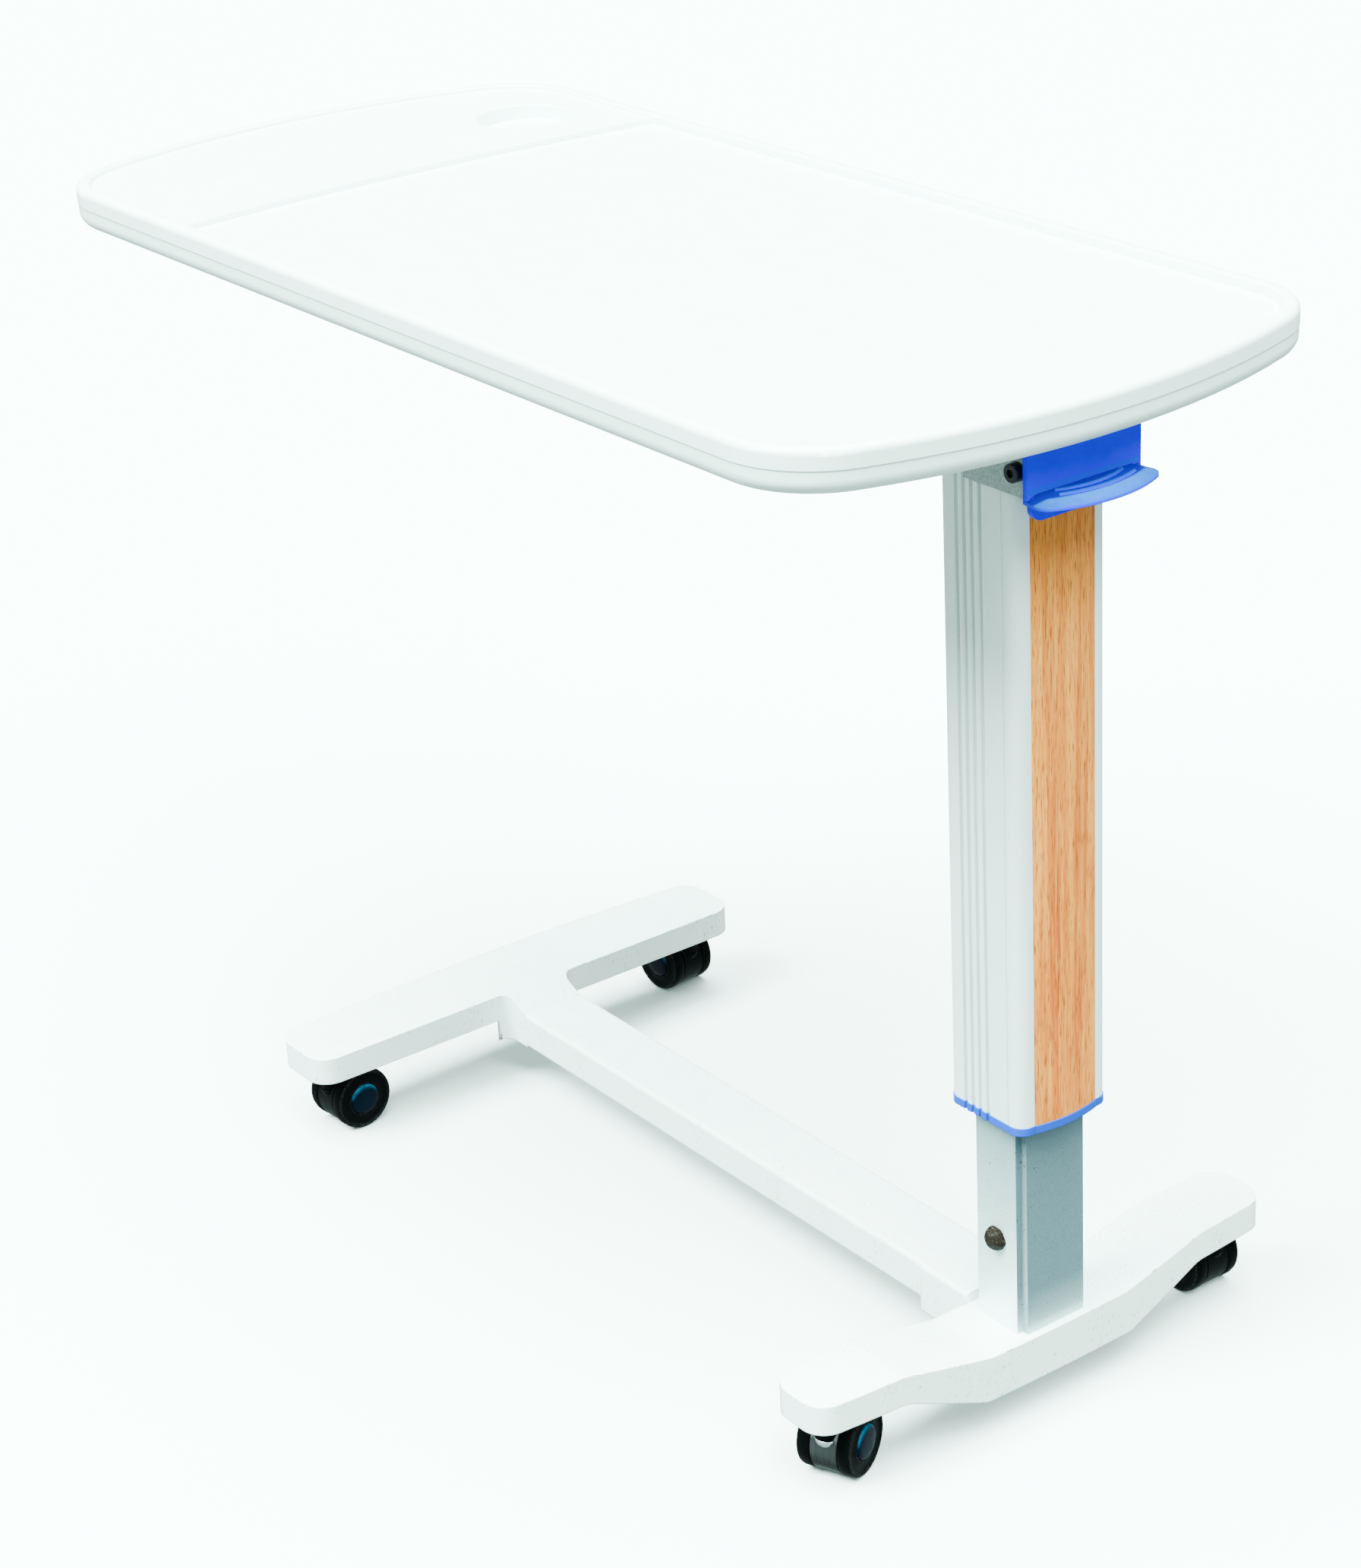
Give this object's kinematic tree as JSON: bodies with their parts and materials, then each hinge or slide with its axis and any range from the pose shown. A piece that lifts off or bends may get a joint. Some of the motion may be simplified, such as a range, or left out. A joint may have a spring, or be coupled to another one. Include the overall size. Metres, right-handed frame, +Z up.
{
  "type": "overbed table",
  "caption": "Height-adjustable overbed table: rimmed tray top on a telescoping column at one end of a low H-shaped base on swivel casters, with a lift lever.",
  "frame": {"origin": "on the floor under the middle of the tabletop (bottom centre of the bounding box)", "axes": "+X runs along the tabletop towards the column end, +Y across it, +Z up"},
  "size_m": [0.8798, 0.4, 0.6755],
  "materials": {
    "tray_plastic": "satin moulded plastic, fine grain",
    "shell_plastic": "satin moulded plastic",
    "steel_zinc": "zinc plated",
    "steel_plain": "plain",
    "bracket_paint": "textured powder coat",
    "black_steel": "blackened",
    "blue_plastic": "glossy moulded plastic",
    "column_aluminium": "satin anodised extrusion",
    "beech_wood": "beech strip, satin lacquer",
    "base_paint": "white powder coat",
    "nylon_black": "moulded nylon",
    "nylon_white": "moulded nylon",
    "bolt_rust": "worn plating, light rust",
    "hood_metal": "metallic grey",
    "wheel_rubber": "soft black tread",
    "cap_blue": "glossy blue cap"
  },
  "bodies": {
    "base": {"near_foot": "base_paint", "far_foot": "base_paint", "crossbar": "base_paint", "crossbar_sleeve": "base_paint", "crossbar_screws": "steel_zinc", "nut_plate": "steel_zinc", "caster_bushes": "nylon_white", "caster_stems": "steel_zinc", "column_plug": "steel_plain", "column_bolts": "bolt_rust", "inner_column": "column_aluminium", "column_glide": "nylon_black", "gas_cylinder": "black_steel"},
    "carriage": {"tabletop_upper": "tray_plastic", "tabletop_lower": "shell_plastic", "shell_screws": "steel_zinc", "table_frame": "steel_plain", "column_bracket": "bracket_paint", "bracket_screws": "black_steel", "column_screws": "steel_zinc", "pivot_pin": "black_steel", "lever_spring": "steel_plain", "rod_head": "steel_plain", "head_screws": "black_steel", "gas_rod": "steel_plain", "outer_column": "column_aluminium", "wood_insert": "beech_wood", "column_end_ring": "blue_plastic"},
    "lever": {"height_lever": "blue_plastic", "lever_tongue": "steel_zinc"},
    "release": {"release_pin": "steel_plain"},
    "near_left_swivel": {"near_left_hood": "hood_metal", "near_left_axle": "steel_plain"},
    "near_left_roller_a": {"near_left_wheel_a": "wheel_rubber", "near_left_cap_a": "cap_blue"},
    "near_left_roller_b": {"near_left_wheel_b": "wheel_rubber", "near_left_cap_b": "cap_blue"},
    "near_right_swivel": {"near_right_hood": "hood_metal", "near_right_axle": "steel_plain"},
    "near_right_roller_a": {"near_right_wheel_a": "wheel_rubber", "near_right_cap_a": "cap_blue"},
    "near_right_roller_b": {"near_right_wheel_b": "wheel_rubber", "near_right_cap_b": "cap_blue"},
    "far_left_swivel": {"far_left_hood": "hood_metal", "far_left_axle": "steel_plain"},
    "far_left_roller_a": {"far_left_wheel_a": "wheel_rubber", "far_left_cap_a": "cap_blue"},
    "far_left_roller_b": {"far_left_wheel_b": "wheel_rubber", "far_left_cap_b": "cap_blue"},
    "far_right_swivel": {"far_right_hood": "hood_metal", "far_right_axle": "steel_plain"},
    "far_right_roller_a": {"far_right_wheel_a": "wheel_rubber", "far_right_cap_a": "cap_blue"},
    "far_right_roller_b": {"far_right_wheel_b": "wheel_rubber", "far_right_cap_b": "cap_blue"}
  },
  "joints": [
    {"name": "column_lift", "type": "slide", "parent": "base", "child": "carriage", "axis": [0, 0, 1], "range_m": [-0.07, 0.18]},
    {"name": "lever_press", "type": "hinge", "parent": "carriage", "child": "lever", "pos_m": [0.403, 0, 0.629], "axis": [0, -1, 0], "range_deg": [0, 6], "stiffness_Nm_per_rad": 0.8, "springref_deg": -14.32},
    {"name": "release_slide", "type": "slide", "parent": "carriage", "child": "release", "axis": [0, 0, -1], "range_m": [0, 0.0043]},
    {"name": "near_left_turn", "type": "hinge", "parent": "base", "child": "near_left_swivel", "pos_m": [0.358, -0.16, 0.045], "axis": [0, 0, 1], "continuous": true},
    {"name": "near_left_roll_a", "type": "hinge", "parent": "near_left_swivel", "child": "near_left_roller_a", "pos_m": [0.33974, -0.15254, 0.023], "axis": [-0.9205, -0.3907, 0], "continuous": true},
    {"name": "near_left_roll_b", "type": "hinge", "parent": "near_left_swivel", "child": "near_left_roller_b", "pos_m": [0.36533, -0.14168, 0.023], "axis": [-0.9205, -0.3907, 0], "continuous": true},
    {"name": "near_right_turn", "type": "hinge", "parent": "base", "child": "near_right_swivel", "pos_m": [0.358, 0.16, 0.045], "axis": [0, 0, 1], "continuous": true},
    {"name": "near_right_roll_a", "type": "hinge", "parent": "near_right_swivel", "child": "near_right_roller_a", "pos_m": [0.344, 0.1461, 0.023], "axis": [0, -1, 0], "continuous": true},
    {"name": "near_right_roll_b", "type": "hinge", "parent": "near_right_swivel", "child": "near_right_roller_b", "pos_m": [0.344, 0.1739, 0.023], "axis": [0, -1, 0], "continuous": true},
    {"name": "far_left_turn", "type": "hinge", "parent": "base", "child": "far_left_swivel", "pos_m": [-0.212, -0.16, 0.045], "axis": [0, 0, 1], "continuous": true},
    {"name": "far_left_roll_a", "type": "hinge", "parent": "far_left_swivel", "child": "far_left_roller_a", "pos_m": [-0.22661, -0.14675, 0.023], "axis": [-0.9986, -0.0523, 0], "continuous": true},
    {"name": "far_left_roll_b", "type": "hinge", "parent": "far_left_swivel", "child": "far_left_roller_b", "pos_m": [-0.19885, -0.14529, 0.023], "axis": [-0.9986, -0.0523, 0], "continuous": true},
    {"name": "far_right_turn", "type": "hinge", "parent": "base", "child": "far_right_swivel", "pos_m": [-0.212, 0.16, 0.045], "axis": [0, 0, 1], "continuous": true},
    {"name": "far_right_roll_a", "type": "hinge", "parent": "far_right_swivel", "child": "far_right_roller_a", "pos_m": [-0.22473, 0.14493, 0.023], "axis": [0.0872, -0.9962, 0], "continuous": true},
    {"name": "far_right_roll_b", "type": "hinge", "parent": "far_right_swivel", "child": "far_right_roller_b", "pos_m": [-0.22716, 0.17263, 0.023], "axis": [0.0872, -0.9962, 0], "continuous": true}
  ],
  "couplings": [
    {"joint": "release_slide", "follows": "lever_press", "m_per_rad": 0.04}
  ]
}
